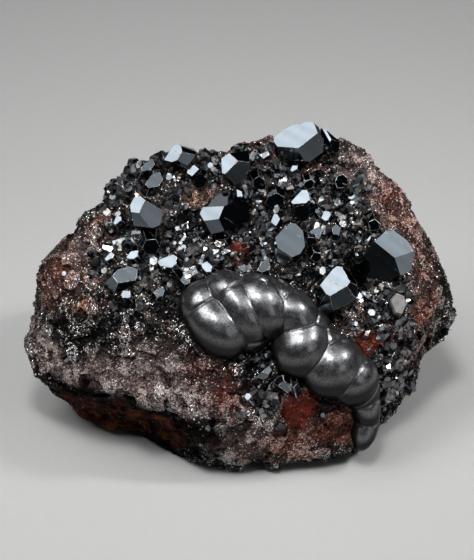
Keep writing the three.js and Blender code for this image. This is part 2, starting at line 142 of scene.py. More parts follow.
def softbox(name, place, target, width, height, brightness):
    """A lamp with a narrow beam, as bright as it looks from its target."""
    lamp = bpy.data.lights.new(name, "AREA")
    lamp.shape = "DISK" if name == "round" else "RECTANGLE"
    lamp.size, lamp.size_y = width, height
    area = math.pi * width**2 / 4 if name == "round" else width * height
    lamp.energy = brightness * math.pi * area * BEAM_LOSS
    lamp.spread = 2 * HALF_BEAM
    stand = bpy.data.objects.new(name, lamp)
    bpy.context.scene.collection.objects.link(stand)
    stand.matrix_world = looking(place, target)


for name, (way, width, height, brightness, distance) in LAMPS.items():
    softbox(name, AIM + facing(*way) * distance, AIM, width, height, brightness)

world = bpy.data.worlds.new("studio")
bpy.context.scene.world = world
world.use_nodes = True
world.node_tree.nodes["Background"].inputs["Color"].default_value = (0.012, 0.0125, 0.014, 1)

bpy.context.scene.view_settings.view_transform = "Standard"
print("lamps:", ", ".join(LAMPS))

# %% [markdown]
# Those beams end close round the lump, and a view from the side would see a dark table behind it.
# A ring of lamps hangs over the table farther off. Their beams miss the lump, so that only the
# table changes.

# %% Lamps over the far part of the table
FAR_LAMPS = 6
RING = {"radius": 1.0, "height": 0.9, "size": 0.4, "brightness": 8.0}
for number_of_lamp in range(FAR_LAMPS):
    turn = math.tau * number_of_lamp / FAR_LAMPS
    foot = Vector((math.cos(turn), math.sin(turn), 0)) * RING["radius"]
    above = foot + Vector((0, 0, RING["height"]))
    softbox(f"far_{number_of_lamp}", above, foot, RING["size"], RING["size"], RING["brightness"])
print(FAR_LAMPS, "lamps over the far part of the table")

# %% [markdown]
# ## Writing node trees as Python
# A finish is a small formula: a pattern, times a mask, plus a stain. One class wraps a socket so
# that the formula can be written as one, and one method makes every other kind of node. The same
# class serves materials and Geometry Nodes.

# %% A socket that does sums, and a tree that makes nodes


class Socket:
    def __init__(self, tree, socket):
        self.tree, self.socket = tree, socket

    def sum(self, operation, a, b):
        return self.tree.node("ShaderNodeMath", {"operation": operation}, {0: a, 1: b})

    def __add__(self, other):
        return self.sum("ADD", self, other)

    def __radd__(self, other):
        return self.sum("ADD", other, self)

    def __sub__(self, other):
        return self.sum("SUBTRACT", self, other)

    def __rsub__(self, other):
        return self.sum("SUBTRACT", other, self)

    def __mul__(self, other):
        return self.sum("MULTIPLY", self, other)

    def __truediv__(self, other):
        return self.sum("DIVIDE", self, other)

    def __rtruediv__(self, other):
        return self.sum("DIVIDE", other, self)

    def __pow__(self, other):
        return self.sum("POWER", self, other)


class Tree:
    def __init__(self, tree):
        self.tree = tree

    def node(self, kind, settings=None, sockets=None, out=0):
        """Adds a node, with each of its sockets set to a value or joined to another node."""
        made = self.tree.nodes.new(kind)
        for key, value in (settings or {}).items():
            setattr(made, key, value)
        for key, value in (sockets or {}).items():
            if isinstance(value, Socket):
                self.tree.links.new(value.socket, made.inputs[key])
            else:
                made.inputs[key].default_value = value
        return Socket(self, made.outputs[out]) if made.outputs else None

    def vector(self, operation, a, b=None, out=0):
        sockets = {0: a} if b is None else {0: a, 1: b}
        return self.node("ShaderNodeVectorMath", {"operation": operation}, sockets, out)

    def scaled(self, a, scale):
        return self.node("ShaderNodeVectorMath", {"operation": "SCALE"}, {0: a, "Scale": scale})

    def tilted_cells(self, place, size):
        """Cells of a size in metres: their colours, their levels, and a slope across each."""
        cell = self.node("ShaderNodeTexVoronoi", {}, {"Vector": place, "Scale": 1 / size}, "Color")
        middle = Socket(self, cell.socket.node.outputs["Position"])
        own = self.vector("SUBTRACT", cell, (0.5, 0.5, 0.5))
        level = self.vector("DOT_PRODUCT", own, (1.0, 0.6, -0.8), "Value") * size
        slope = self.vector("DOT_PRODUCT", own, self.vector("SUBTRACT", place, middle), "Value")
        return cell, level, slope

    def between(self, value, low, high):
        """0 where a value is at low, 1 where it is at high, smooth between and level past them."""
        smoothly = {"interpolation_type": "SMOOTHSTEP"}
        return self.node("ShaderNodeMapRange", smoothly, {0: value, 1: low, 2: high})


class Finish(Tree):
    """A material. Patterns on it use object coordinates, with sizes in millimetres."""

    def __init__(self, name):
        self.material = bpy.data.materials.new(name)
        self.material.use_nodes = True
        super().__init__(self.material.node_tree)
        self.tree.nodes.clear()
        self.place = self.node("ShaderNodeTexCoord", out="Object")

    def noise(self, size, detail=3.0, roughness=0.55):
        scale = {"Scale": 1 / (size * MM), "Detail": detail, "Roughness": roughness}
        return self.node("ShaderNodeTexNoise", {}, {"Vector": self.place, **scale})

    def cells(self, size, out="Distance"):
        """The distance from the middle of a cell, or with out="Color" a colour for each cell."""
        where = {"Vector": self.place, "Scale": 1 / (size * MM)}
        return self.node("ShaderNodeTexVoronoi", {}, where, out)

    def attribute(self, name):
        return self.node("ShaderNodeAttribute", {"attribute_name": name}, out="Fac")

    def mix(self, factor, a, b):
        """Colour a where factor is 0 and colour b where it is 1."""
        a, b = (c if isinstance(c, Socket) else (*c, 1) for c in (a, b))
        return self.node("ShaderNodeMix", {"data_type": "RGBA"}, {0: factor, 6: a, 7: b}, 2)

    def split(self, colour, channel):
        return self.node("ShaderNodeSeparateColor", {}, {0: colour}, channel)

    def bump(self, height, size, strength=1.0):
        """A bump whose full height is size millimetres."""
        depth = {"Height": height, "Distance": size * MM, "Strength": strength}
        return self.node("ShaderNodeBump", {}, depth, "Normal")

    def surface(self, **sockets):
        names = {name.replace("_", " "): value for name, value in sockets.items()}
        shader = self.node("ShaderNodeBsdfPrincipled", {}, names)
        self.node("ShaderNodeOutputMaterial", {}, {"Surface": shader})


# %% [markdown]
# ## The floor
# A plain pale sheet. It also lights the undersides of the crystals a little, as a table would.

# %% The floor
paper = Finish("pale_paper")
speck = paper.noise(1.5, 2)
paper.surface(Base_Color=paper.mix(speck, (0.52, 0.52, 0.515), (0.55, 0.55, 0.545)), Roughness=0.85)

FLOOR = 3.0  # metres each way
floor_mesh = bpy.data.meshes.new("floor")
corners = [(-FLOOR, -FLOOR, 0), (FLOOR, -FLOOR, 0), (FLOOR, FLOOR, 0), (-FLOOR, FLOOR, 0)]
floor_mesh.from_pydata(corners, [], [(0, 1, 2, 3)])
floor_mesh.materials.append(paper.material)
floor = bpy.data.objects.new("floor", floor_mesh)
bpy.context.scene.collection.objects.link(floor)
print("floor:", 2 * FLOOR, "metres wide")

# %% [markdown]
# ## Finishes
# Hematite is an oxide that shines like a metal: it mirrors about a quarter of the light, a little
# bluish. Crystal faces are nearly perfect mirrors, crossed by fine growth lines. Kidney ore is the
# same mineral with a soft sheen. The rock is a mixture, so its finish mixes grains of several
# colours, and stains laid on the surface as attributes, further on, say where each of them is.

# %% The crystal faces
faces = Finish("crystal_faces")


def growth_lines(size, bending):
    """Bands that cross a face, as crystals show where they grew in steps."""
    bands = {"Scale": 1 / (size * MM), "Distortion": bending, "Detail": 3.0, "Detail Scale": 0.6}
    way = {"bands_direction": "DIAGONAL"}
    return faces.node("ShaderNodeTexWave", way, {"Vector": faces.place, **bands})


lines = growth_lines(9.0, 3.0)
steps = faces.noise(2.4, 4)
smudge = faces.between(faces.noise(1.6, 5), 0.42, 0.75)
dust = faces.between(faces.cells(0.35), 0.08, 0.02) * faces.between(faces.noise(2.0), 0.5, 0.7)
scratch = faces.between(growth_lines(16.0, 7.0), 0.985, 1.0)
scratch = scratch * faces.between(faces.noise(1.8, 2), 0.5, 0.62)
# the polish of each face, with a few faces painted brighter or darker as painted light
polish = faces.attribute("polish")
mirror = faces.mix(lines * 0.22 + smudge * 0.12, (0.17, 0.198, 0.224), (0.095, 0.105, 0.115))
mirror = faces.scaled(mirror, polish)
faces.surface(
    Base_Color=faces.mix(dust * 0.6 + scratch * 0.7, mirror, (0.22, 0.21, 0.2)),
    Metallic=1.0,
    Roughness=0.04 + smudge * 0.08 + dust * 0.3 + scratch * 0.4,
    Normal=faces.bump(lines * 0.3 + steps, 0.02, 0.3),
)

# %% [markdown]
# An edge is chipped along its length, so it glints in short stretches. The small crystals of the
# druse stand at every angle and are partly rusted over: each cell of a pattern that is about as
# large as a crystal gets its own brightness and gloss.

# %% Worn crystal edges, and the small crystals of the druse
worn_edges = Finish("worn_edges")
chips = worn_edges.between(worn_edges.noise(1.0, 5), 0.34, 0.6)
worn_edges.surface(
    Base_Color=worn_edges.mix(chips, (0.05, 0.05, 0.054), (0.6, 0.62, 0.65)),
    Metallic=1.0,
    Roughness=0.38 + chips * 0.2,
    Normal=worn_edges.bump(chips, 0.05, 0.6),
)

druse = Finish("druse_faces")
each = druse.cells(1.3, out="Color")
tone, gloss, tint = (druse.split(each, c) for c in ("Red", "Green", "Blue"))
coat = druse.between(druse.noise(1.1, 5), 0.5, 0.75)
bright = druse.mix(tint, (0.36, 0.42, 0.46), (0.44, 0.39, 0.34))
steel = druse.mix(tone**1.3 * (0.35 + gloss * 0.65), (0.08, 0.088, 0.1), bright)
druse.surface(
    Base_Color=druse.mix(coat * 0.7, steel, (0.13, 0.07, 0.04)),
    Metallic=1.0 - coat * 0.6,
    Roughness=0.07 + gloss**2.0 * 0.38 + coat * 0.2,
    Normal=druse.bump(druse.noise(0.7, 4), 0.04, 0.5),
)

# %% [markdown]
# Kidney ore is made of needles too fine to see, which scatter the light a little, so its mirror is
# soft and mottled, and a thin clear coat over it gives the small sharp highlights. The creases are
# painted darker, partly as grime and partly as painted shade. The undersides of the lobes are painted
# nearly black as painted shade, and lose most of their coat.

# %% The kidney ore
sheen = Finish("kidney_ore")
crease = sheen.attribute("crease")
# partly grime and partly painted shade: darker, duller and less metallic in the creases and in patches
grime_and_crease_shade = sheen.between(sheen.noise(1.3, 5) + crease * 0.5, 0.82, 1.15)
pimples = sheen.between(sheen.cells(0.55), 0.22, 0.04)
spots = sheen.between(sheen.cells(0.9), 0.2, 0.08) * sheen.between(sheen.noise(1.5), 0.45, 0.6)
specks = sheen.between(sheen.cells(0.7), 0.1, 0.05) * sheen.between(sheen.noise(2.2), 0.5, 0.65)
dull = sheen.between(sheen.noise(1.8, 6), 0.35, 0.7)
mottle = sheen.between(sheen.noise(0.45, 3, 0.7), 0.38, 0.62)
clean = sheen.mix(mottle, (0.13, 0.132, 0.137), (0.25, 0.254, 0.263))
# painted shade: the undersides of the lobes, which face away from the lamps, are painted nearly black
clean = sheen.mix(sheen.attribute("under"), clean, (0.02, 0.02, 0.021))
sheen_colour = sheen.mix(grime_and_crease_shade, clean, (0.05, 0.042, 0.04))
sheen_colour = sheen.mix(spots * 0.75, sheen_colour, (0.02, 0.02, 0.02))
sheen_colour = sheen.mix(specks * 0.8, sheen_colour, (0.42, 0.42, 0.41))
sheen.surface(
    Base_Color=sheen_colour,
    Metallic=0.95 - grime_and_crease_shade * 0.4,
    Roughness=0.28 + dull * 0.14 + grime_and_crease_shade * 0.15,
    Specular_Tint=(0.5, 0.5, 0.5, 1),
    Coat_Weight=(0.95 - grime_and_crease_shade * 0.5 - dull * 0.2) * (1 - sheen.attribute("under") * 0.9),
    Coat_Roughness=0.11,
    Normal=sheen.bump(sheen.noise(0.7, 6, 0.65) + pimples * 0.4 - spots * 0.6, 0.03, 0.55),
)

# %% [markdown]
# The rock's finish works at three sizes. Drifts a few millimetres wide change where the rust is,
# cells of a millimetre tell one grain from the next, and cells of a third of a millimetre carry
# the brightness, the tilt and the chance of being a pale or a metallic speck. The height that the
# surface was broken to darkens the hollows as painted shade, and fine dark pits and the rock among
# the crystals are painted darker too. The painted shade of the recess under the ledge, and of a few
# other dark places, comes last and covers all the rest.

# %% The rock
grains = Finish("iron_stained_rock")
coarse = grains.cells(1.1, out="Color")
fine, _, facets = grains.tilted_cells(grains.place, 0.3 * MM)
pick, clump, hue = (grains.split(coarse, c) for c in ("Red", "Green", "Blue"))
shade, fleck, glint = (grains.split(fine, c) for c in ("Red", "Green", "Blue"))
patch, drift = grains.noise(5.0, 5), grains.noise(2.8, 4)
gravel = grains.noise(0.55, 3, 0.7)
# painted shade: darker in the hollows of the broken surface and lighter on its crests, where the pale
# and metallic specks also gather
crest_and_hollow_shade = grains.attribute("height") * 0.7 + (drift - 0.5) * 0.2 + (gravel - 0.5) * 0.9
crest_and_hollow_shade = grains.between(crest_and_hollow_shade, -0.12, 0.24)
# painted shade: the rock among the crystals of the crust is darker and has fewer pale and metallic
# specks
shade_between_crystals = 1 - grains.attribute("crust") * 0.6
# painted shade: fine dark pits, the shade inside holes too small to be built
pit_shade = grains.between(grains.noise(0.26, 2, 0.65), 0.53, 0.4)

light = grains.attribute("pale")
unrest = (patch - 0.5) * (1.3 - light * 0.9) + (pick - 0.5) * (0.5 - light * 0.25)
rust = grains.between(grains.attribute("rust") + unrest, 0.35, 0.65)
smooth_rust = grains.between(grains.attribute("rust") + (drift - 0.5) * 0.5, 0.6, 0.9)
ochre = grains.attribute("orange") * 0.7 + (patch - 0.5) * 1.3 + (shade - 0.5) * 0.7
ochre = grains.between(ochre, 0.42, 0.72)
# painted shade: the recess under the ledge and a few other dark places, painted near black
painted_shade = grains.attribute("painted_shade")

dark = grains.mix(shade**2.0 * crest_and_hollow_shade, (0.002, 0.002, 0.002), (0.09, 0.08, 0.075))
brown = grains.mix(shade * crest_and_hollow_shade * shade_between_crystals, (0.003, 0.002, 0.0015), (0.2, 0.125, 0.095))
pink = grains.mix(light, (0.5, 0.2, 0.155), (0.95, 0.56, 0.49))
red = grains.mix(shade * (0.15 + crest_and_hollow_shade * 0.85), (0.025, 0.005, 0.004), pink)
deep_red = grains.mix(shade * 0.7 + crest_and_hollow_shade * 0.3, (0.05, 0.004, 0.002), (0.34, 0.042, 0.02))
orange = grains.mix(shade, (0.16, 0.04, 0.014), (0.8, 0.36, 0.2))
stone = grains.mix(grains.between(patch + (clump - 0.5) * 0.6, 0.5, 0.66), dark, brown)
dusty = grains.mix(shade * (0.4 + crest_and_hollow_shade * 0.6), (0.1, 0.06, 0.052), (1.0, 0.76, 0.71))
stone = grains.mix(light * (1 - smooth_rust) * 0.9, stone, dusty)
stone = grains.mix(smooth_rust, grains.mix(rust, stone, red), deep_red)
stone = grains.mix(ochre * (0.25 + crest_and_hollow_shade * 0.65), stone, orange)
stone = grains.mix(pit_shade * (1 - smooth_rust * 0.6) * 0.85, stone, (0.006, 0.004, 0.0035))

pale_share = (0.05 + light * 0.5 + rust * 0.16 + (drift - 0.5) * 0.18) * (0.12 + crest_and_hollow_shade)
pale_share = pale_share * shade_between_crystals
pale = grains.between(pale_share * (1 - smooth_rust * 0.9) - fleck, -0.02, 0.02)
clear = grains.mix(shade, (0.34, 0.27, 0.24), (0.78, 0.73, 0.69))
pale_colour = grains.mix(rust, clear, (0.6, 0.41, 0.37))
metal_share = (0.42 - rust * 0.3 + (drift - 0.5) * 0.3) * (0.1 + crest_and_hollow_shade)
metal_share = metal_share * shade_between_crystals * (1 - light * 0.6)
metal = grains.between(metal_share * (1 - smooth_rust) * (1 - painted_shade) - glint, -0.02, 0.02) * (1 - pale)
metal_colour = grains.mix(hue, (0.46, 0.53, 0.58), (0.6, 0.54, 0.47))

# the colour of the painted shade: near black, with a little dark red where the rust lies in shade
shaded_rust = grains.mix(hue, (0.12, 0.022, 0.007), (0.17, 0.06, 0.018))
painted_shade_colour = grains.mix(grains.between(drift, 0.42, 0.75) * smooth_rust, (0.0025, 0.0018, 0.0015), shaded_rust)
stone = grains.mix(painted_shade * 0.97, grains.mix(pale * (1 - painted_shade), stone, pale_colour), painted_shade_colour)
grains.surface(
    Base_Color=grains.mix(metal, stone, metal_colour),
    Metallic=metal + painted_shade * 0.85 * (1 - metal),
    Roughness=0.55 - metal * 0.27 + (shade - 0.5) * 0.2 + painted_shade * 0.3,
    Specular_IOR_Level=0.2,
    Normal=grains.bump(facets / MM * 1.3 + grains.noise(0.35, 3) * 0.16, 1.0, 0.9),
)

# %% [markdown]
# The flakes are splinters of the same ore. On rusty ground they are rusty too, and in the hollows
# they are dark, because nothing bright is in front of them there.

# %% The flakes
flakes = Finish("specular_flakes")
own = flakes.cells(0.6, out="Color")
tone, gloss, tint = (flakes.split(own, c) for c in ("Red", "Green", "Blue"))
steel = flakes.mix(tint, (0.36, 0.4, 0.43), (0.43, 0.4, 0.36))
rusty = flakes.mix(tint, (0.12, 0.035, 0.026), (0.48, 0.25, 0.2))
rusted = flakes.between(flakes.attribute("rust") * 1.3 + tone * 0.5 + gloss * 0.3, 0.6, 0.95)
open_air = flakes.between(flakes.attribute("height"), -0.15, 0.2)
rusty = flakes.mix(open_air, (0.015, 0.006, 0.005), rusty)
flakes.surface(
    Base_Color=flakes.mix(rusted, flakes.mix(tone**2.0 * open_air, (0.014, 0.015, 0.017), steel), rusty),
    Metallic=1.0 - rusted * 0.75,
    Roughness=0.2 + gloss * 0.3 + rusted * 0.15,
    Normal=flakes.bump(flakes.noise(0.4, 3), 0.05, 0.5),
)

# %% [markdown]
# The one pale grain is quartz with a frosted skin. It is finished as a dull grey stone, since
# only its skin shows.

# %% The quartz
quartz = Finish("quartz")
frost = quartz.noise(1.2, 4)
quartz.surface(
    Base_Color=quartz.mix(frost, (0.09, 0.086, 0.082), (0.4, 0.39, 0.38)),
    Roughness=0.3 + frost * 0.3,
    Normal=quartz.bump(frost, 0.1, 0.5),
)
print("finishes:", [m.name for m in bpy.data.materials])

# %% [markdown]
# ## Helpers for meshes
# A solid from the frame is a heap of loose triangles, so a copy is merged along its edges before
# anything is done to it. A modifier's result is turned into a plain mesh, and the modifier goes.

# %% Merge, evaluate, show
SAME_PLACE = 0.001 * MM


def merged(node):
    """A bmesh of a solid, with its triangles joined along their edges."""
    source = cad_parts[node].data
    bm = bmesh.new()
    corners = [bm.verts.new(v.co) for v in source.vertices]
    for face in source.polygons:
        bm.faces.new([corners[i] for i in face.vertices])
    bmesh.ops.remove_doubles(bm, verts=bm.verts, dist=SAME_PLACE)
    return bm


def mesh_of(bm, name):
    mesh = bpy.data.meshes.new(name)
    bm.to_mesh(mesh)
    bm.free()
    return mesh


def shown(mesh, name, material=None):
    """Puts a mesh into the scene as a named piece."""
    piece = bpy.data.objects.new(name, mesh)
    bpy.context.scene.collection.objects.link(piece)
    if material:
        mesh.materials.clear()
        mesh.materials.append(material)
    return piece


def settle(piece):
    """Makes the result of a piece's modifiers its plain mesh."""
    result = bpy.data.meshes.new_from_object(piece.evaluated_get(bpy.context.evaluated_depsgraph_get()))
    piece.modifiers.clear()
    piece.data = result
    return piece


def remesh(piece, size):
    """Rebuilds a piece's surface as even squares, size millimetres wide."""
    modifier = piece.modifiers.new("remesh", "REMESH")
    modifier.mode = "VOXEL"
    modifier.voxel_size = size * MM
    return settle(piece)


def points_of(mesh):
    flat = np.empty(len(mesh.vertices) * 3)
    mesh.vertices.foreach_get("co", flat)
    return flat.reshape(-1, 3)


def normals_of(mesh):
    flat = np.empty(len(mesh.vertices) * 3)
    mesh.vertex_normals.foreach_get("vector", flat)
    return flat.reshape(-1, 3)


def put_points(mesh, points):
    mesh.vertices.foreach_set("co", points.astype(np.float32).ravel())
    mesh.update()


def lay(mesh, name, values, on="POINT"):
    """Writes a number at every point or every face of a mesh, as an attribute."""
    mesh.attributes.new(name, "FLOAT", on).data.foreach_set("value", values.astype(np.float32))


def smooth(value, low, high):
    t = np.clip((value - low) / (high - low), 0, 1)
    return t * t * (3 - 2 * t)


def triangles(mesh):
    mesh.calc_loop_triangles()
    return len(mesh.loop_triangles)


# %% [markdown]
# ## The kidney ore
# Kidney ore grows outwards from points, so each lobe is part of an egg and two lobes meet in a
# sharp crease. Joining the eggs with booleans would give ragged seams. Instead the eggs are
# remeshed roughly into one skin, and every point of the skin is then drawn onto the surface that
# the eggs would share if they had melted together a little, less a fine groove wherever two eggs
# are equally near. That leaves broad smooth lobes and clean creases.

# %% The lobes, with the lower ones nearer or farther than in the solids so that they overlap
LOBES = [  # pixel x, pixel y, near, half length, half width, turn, half depth
    (217, 327, 21.8, 8.2, 6.0, 134, 7.0),
    (199, 303, 20.6, 5.4, 4.4, 62, 6.0),
    (226, 291, 20.4, 5.2, 4.6, 150, 6.2),
    (241, 311, 21.2, 8.6, 4.8, 122, 7.1),
    (262, 306, 20.4, 8.0, 5.6, 118, 7.2),
    (276, 297, 18.6, 5.0, 4.2, 140, 6.0),
    (293, 314, 19.0, 6.2, 5.4, 130, 6.6),
    (310, 325, 16.4, 4.6, 4.4, 135, 6.4),
    (300, 348, 19.2, 7.2, 6.2, 48, 7.2),
    (322, 342, 16.0, 5.4, 4.4, 135, 6.4),
    (331, 367, 17.4, 7.4, 6.6, 44, 7.2),
    (343, 355, 13.4, 4.6, 4.2, 130, 6.0),
    (354, 380, 14.8, 6.2, 5.2, 56, 6.8),
    (363, 392, 10.2, 4.6, 3.6, 60, 6.0),
    (366, 408, 8.8, 4.4, 3.3, 96, 5.6),
    (365, 428, 6.4, 5.4, 3.0, 76, 5.0),
    (254, 340, 19.8, 3.4, 2.6, 30, 4.6),
]


def lobe_axes(turn):
    along = facing(turn, 90)
    return np.array([along, along.cross(NEARER), NEARER])


CENTRES = np.array([seen_near(px, py, near) for px, py, near, *_ in LOBES])
AXES = np.array([lobe_axes(lobe[5]) for lobe in LOBES])
RADII = np.array([[lobe[3], lobe[4], lobe[6]] for lobe in LOBES]) * MM
print(len(LOBES), "lobes")

# %% The skin over the lobes


def from_lobes(points):
    """Each point's distance outside each lobe, and the ways that lead out of them."""
    local = np.einsum("lij,nlj->nli", AXES, points[:, None, :] - CENTRES)
    scaled = np.linalg.norm(local / RADII, axis=2)
    slope = local / RADII**2
    steepness = np.linalg.norm(slope, axis=2)
    ways = np.einsum("lij,nli->nlj", AXES, slope) / steepness[..., None]
    return scaled * (scaled - 1) / steepness, ways


MELT = 0.7 * MM  # how far the lobes melt together
CREASE = (0.3 * MM, 0.2 * MM)  # width and depth of the line between two lobes
LOBE_SQUARES = 0.27  # millimetres
ROUNDS = 5  # of drawing the skin onto the lobes
LIT_FROM = (0, -0.25, 0.97)  # what faces away from here is an underside

eggs = bmesh.new()
for centre, axes, radii in zip(CENTRES, AXES, RADII):
    frame_of_egg = Matrix.Translation(centre) @ Matrix((axes.T * radii).tolist()).to_4x4()
    bmesh.ops.create_icosphere(eggs, subdivisions=4, radius=1, matrix=frame_of_egg)
bmesh.ops.recalc_face_normals(eggs, faces=eggs.faces)
kidney = remesh(shown(mesh_of(eggs, "kidney"), "kidney_ore_lobes", sheen.material), LOBE_SQUARES)
skin = points_of(kidney.data)
for _ in range(ROUNDS):
    apart, ways = from_lobes(skin)
    nearest, second = np.sort(apart, axis=1)[:, :2].T
    share = np.exp((nearest[:, None] - apart) / MELT)
    out = nearest - MELT * np.log(share.sum(axis=1))
    between_lobes = np.exp(-(((second - nearest) / CREASE[0]) ** 2))
    share /= share.sum(axis=1, keepdims=True)
    skin -= np.einsum("nl,nlj->nj", share, ways) * (out + between_lobes * CREASE[1])[:, None]
put_points(kidney.data, skin)
kidney.data.shade_smooth()
lay(kidney.data, "crease", between_lobes)
# painted shade: how far each point faces away from the lamps above, for darkening the undersides
lay(kidney.data, "under", 1 - smooth(normals_of(kidney.data) @ LIT_FROM, 0.1, 0.65))
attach(kidney, "root")
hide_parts("kidney_ore")
print("kidney ore:", triangles(kidney.data), "triangles")

# %% [markdown]
# ## The rock
# The lump is broken rock: blocks a few millimetres across, each with its own tilt, made of grains
# of one to two millimetres. Even squares over the surface give Geometry Nodes enough points to
# break it into blocks and grains. The surface is made twice, with finer squares for the front and
# coarser ones for the back, and each is used only on its own side.

# %% Measure how near the other pieces are
everything_else = bmesh.new()
for name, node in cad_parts.items():
    if name != "matrix":
        everything_else.from_mesh(node.data)
pieces_in_rock = BVHTree.FromBMesh(everything_else)
everything_else.free()


def nearness(points, reach):
    """1 at a point on another piece, 0 from reach metres away."""
    away = [pieces_in_rock.find_nearest(Vector(p), reach)[3] for p in points]
    return 1 - np.array([reach if d is None else d for d in away]) / reach


# %% Remake the lump's surface twice
lump = merged("matrix")
lump_surface = BVHTree.FromBMesh(lump)
lump_mesh = mesh_of(lump, "lump")
SQUARES = {"front": 0.34, "back": 0.5}  # millimetres
skins = {side: remesh(shown(lump_mesh.copy(), side), size) for side, size in SQUARES.items()}
for side, skin in skins.items():
    print("skin of the", side + ":", triangles(skin.data), "triangles")

# %% [markdown]
# The solid has a fine gap round every piece that sits in it. Where the rock lies beside another
# piece it is pushed out until the gap is closed, so that the crust runs right up to every crystal,
# and it is broken up less there, so that it doesn't climb onto the crystal.

# %% Close the gaps round the pieces
BESIDE = 1.2 * MM  # how far from a piece the rock still counts as beside it
PUSH = 0.4  # millimetres
for skin in skins.values():
    points = points_of(skin.data)
    near = nearness(points, BESIDE)
    put_points(skin.data, points + normals_of(skin.data) * (smooth(near, 0.3, 0.7) * PUSH * MM)[:, None])
    lay(skin.data, "free", 1 - 0.8 * smooth(near, 0.0, 0.6))

# %% [markdown]
# ## Stains
# Iron weathers unevenly. Each stain is a patch of the surface, found by its place in the picture
# and then measured on the rock itself, so that it spreads round corners as a real one does. The
# back was never seen, and gets rust and pale grains in drifts.

# %% Lay the stains on the rock
STAINS = {  # pixel x, pixel y, radius in millimetres, strength
    "rust": [
        (400, 205, 9, 0.5), (420, 250, 9, 0.55), (385, 185, 7, 0.4), (350, 160, 7, 0.35),
        (425, 300, 7, 0.45), (240, 247, 5, 0.75), (366, 342, 4, 1.0), (272, 165, 5, 0.3),
        (315, 173, 4, 0.6), (300, 405, 6, 1.0), (355, 345, 4, 0.8), (265, 343, 3, 0.8),
        (80, 250, 10, 0.4), (50, 282, 8, 0.6), (120, 200, 7, 0.45), (85, 407, 8, 1.0),
        (125, 418, 9, 1.0), (425, 320, 8, 0.3), (300, 442, 8, 0.5), (350, 420, 7, 0.3),
        (250, 450, 7, 0.4), (140, 385, 6, 0.3), (205, 215, 4, 0.4), (90, 300, 7, 0.3),
        (160, 330, 6, 0.25), (200, 360, 6, 0.35), (72, 400, 4, 1.0), (98, 404, 4, 1.0),
        (124, 408, 4, 1.0), (150, 414, 4, 1.0), (170, 432, 7, 0.95), (210, 385, 8, 0.5),
        (340, 425, 8, 0.6), (280, 445, 8, 0.4), (195, 178, 4, 0.6), (420, 330, 6, 0.4),
        (390, 335, 6, 0.4), (405, 365, 6, 0.4), (100, 425, 7, 0.9), (235, 400, 7, 0.5),
    ],
    "orange": [
        (366, 340, 3, 0.5), (322, 168, 3, 0.6), (390, 225, 3, 0.5), (198, 197, 4.5, 1.0),
        (280, 445, 4, 0.5), (338, 430, 5, 0.8), (135, 348, 3, 0.5), (145, 340, 3, 0.4),
        (88, 305, 3, 0.6), (165, 428, 4, 0.5), (110, 405, 5, 0.4), (240, 340, 2, 0.3),
        (350, 318, 5, 0.45), (180, 400, 4, 0.25), (385, 215, 5, 0.5), (372, 200, 4, 0.3),
        (422, 305, 7, 0.6), (432, 335, 6, 0.4), (346, 430, 6, 0.4), (300, 446, 6, 0.7),
        (262, 452, 5, 0.4), (120, 335, 4, 0.3), (75, 300, 4, 0.55), (60, 265, 4, 0.6),
        (210, 400, 3, 0.3), (46, 288, 4, 0.7), (100, 240, 3, 0.4), (400, 215, 4, 0.4),
        (418, 262, 4, 0.4),
    ],
    "pale": [
        (52, 362, 5, 1.0), (75, 378, 5, 0.9), (218, 450, 5, 0.7), (165, 375, 8, 0.85),
        (300, 450, 5, 0.4), (140, 190, 6, 0.4), (170, 215, 6, 0.3), (330, 245, 5, 0.3),
        (90, 255, 9, 0.3), (380, 290, 4, 0.3), (360, 320, 5, 0.3), (395, 205, 9, 0.75),
        (365, 170, 8, 0.6), (130, 380, 6, 0.9), (205, 388, 6, 0.5), (200, 196, 4, 0.6),
        (272, 165, 5, 0.3), (425, 275, 7, 0.2), (260, 440, 7, 0.5), (44, 350, 6, 0.8),
        (435, 305, 5, 0.2), (100, 374, 6, 0.9), (140, 371, 6, 0.85), (190, 400, 6, 0.6),
        (225, 415, 6, 0.4), (60, 270, 8, 0.25), (35, 320, 4, 0.5),
    ],
    # painted shade: not a stain, but the shadow of the recess under the ledge and of other dark places
    "painted_shade": [
        (70, 398, 4, 0.9), (88, 395, 4.5, 1.0), (108, 400, 4.5, 1.0), (130, 408, 5, 1.0),
        (152, 412, 5, 1.0), (172, 418, 4.5, 1.0), (190, 430, 4.5, 1.0), (210, 440, 4, 0.9),
        (85, 410, 5, 1.0), (105, 420, 6, 1.0), (135, 428, 6, 1.0), (160, 436, 6, 1.0),
        (185, 446, 5, 1.0), (78, 415, 5, 1.0), (95, 428, 6, 1.0), (120, 440, 6, 1.0),
        (150, 450, 6, 1.0), (178, 456, 5, 1.0), (60, 400, 4, 0.9), (200, 452, 4, 0.8),
        (240, 425, 3, 0.5), (330, 395, 3, 0.6), (75, 396, 4, 0.8), (100, 405, 4, 0.9),
        (120, 412, 4, 0.9), (140, 418, 4, 0.9), (160, 425, 4, 0.9), (183, 432, 4, 0.9),
        (60, 335, 4, 0.3), (95, 345, 4, 0.3), (388, 398, 7, 0.45), (410, 372, 7, 0.45),
        (402, 340, 6, 0.3), (430, 345, 6, 0.4), (375, 425, 5, 0.5), (395, 352, 7, 0.2),
        (112, 330, 8, 0.2), (70, 325, 7, 0.15), (150, 345, 7, 0.15),
    ],
    "crust": [
        (150, 190, 12, 1), (215, 200, 14, 1), (290, 200, 14, 1), (340, 200, 9, 0.8),
        (150, 250, 11, 1), (210, 245, 11, 1), (280, 250, 12, 1), (345, 250, 10, 1),
        (380, 262, 5, 0.6), (120, 275, 7, 0.7), (180, 280, 8, 0.9), (380, 305, 9, 0.7),
        (398, 348, 10, 0.4), (386, 390, 9, 0.5), (270, 375, 6, 0.35), (255, 400, 5, 0.3),
        (170, 165, 7, 0.7),
    ],
}
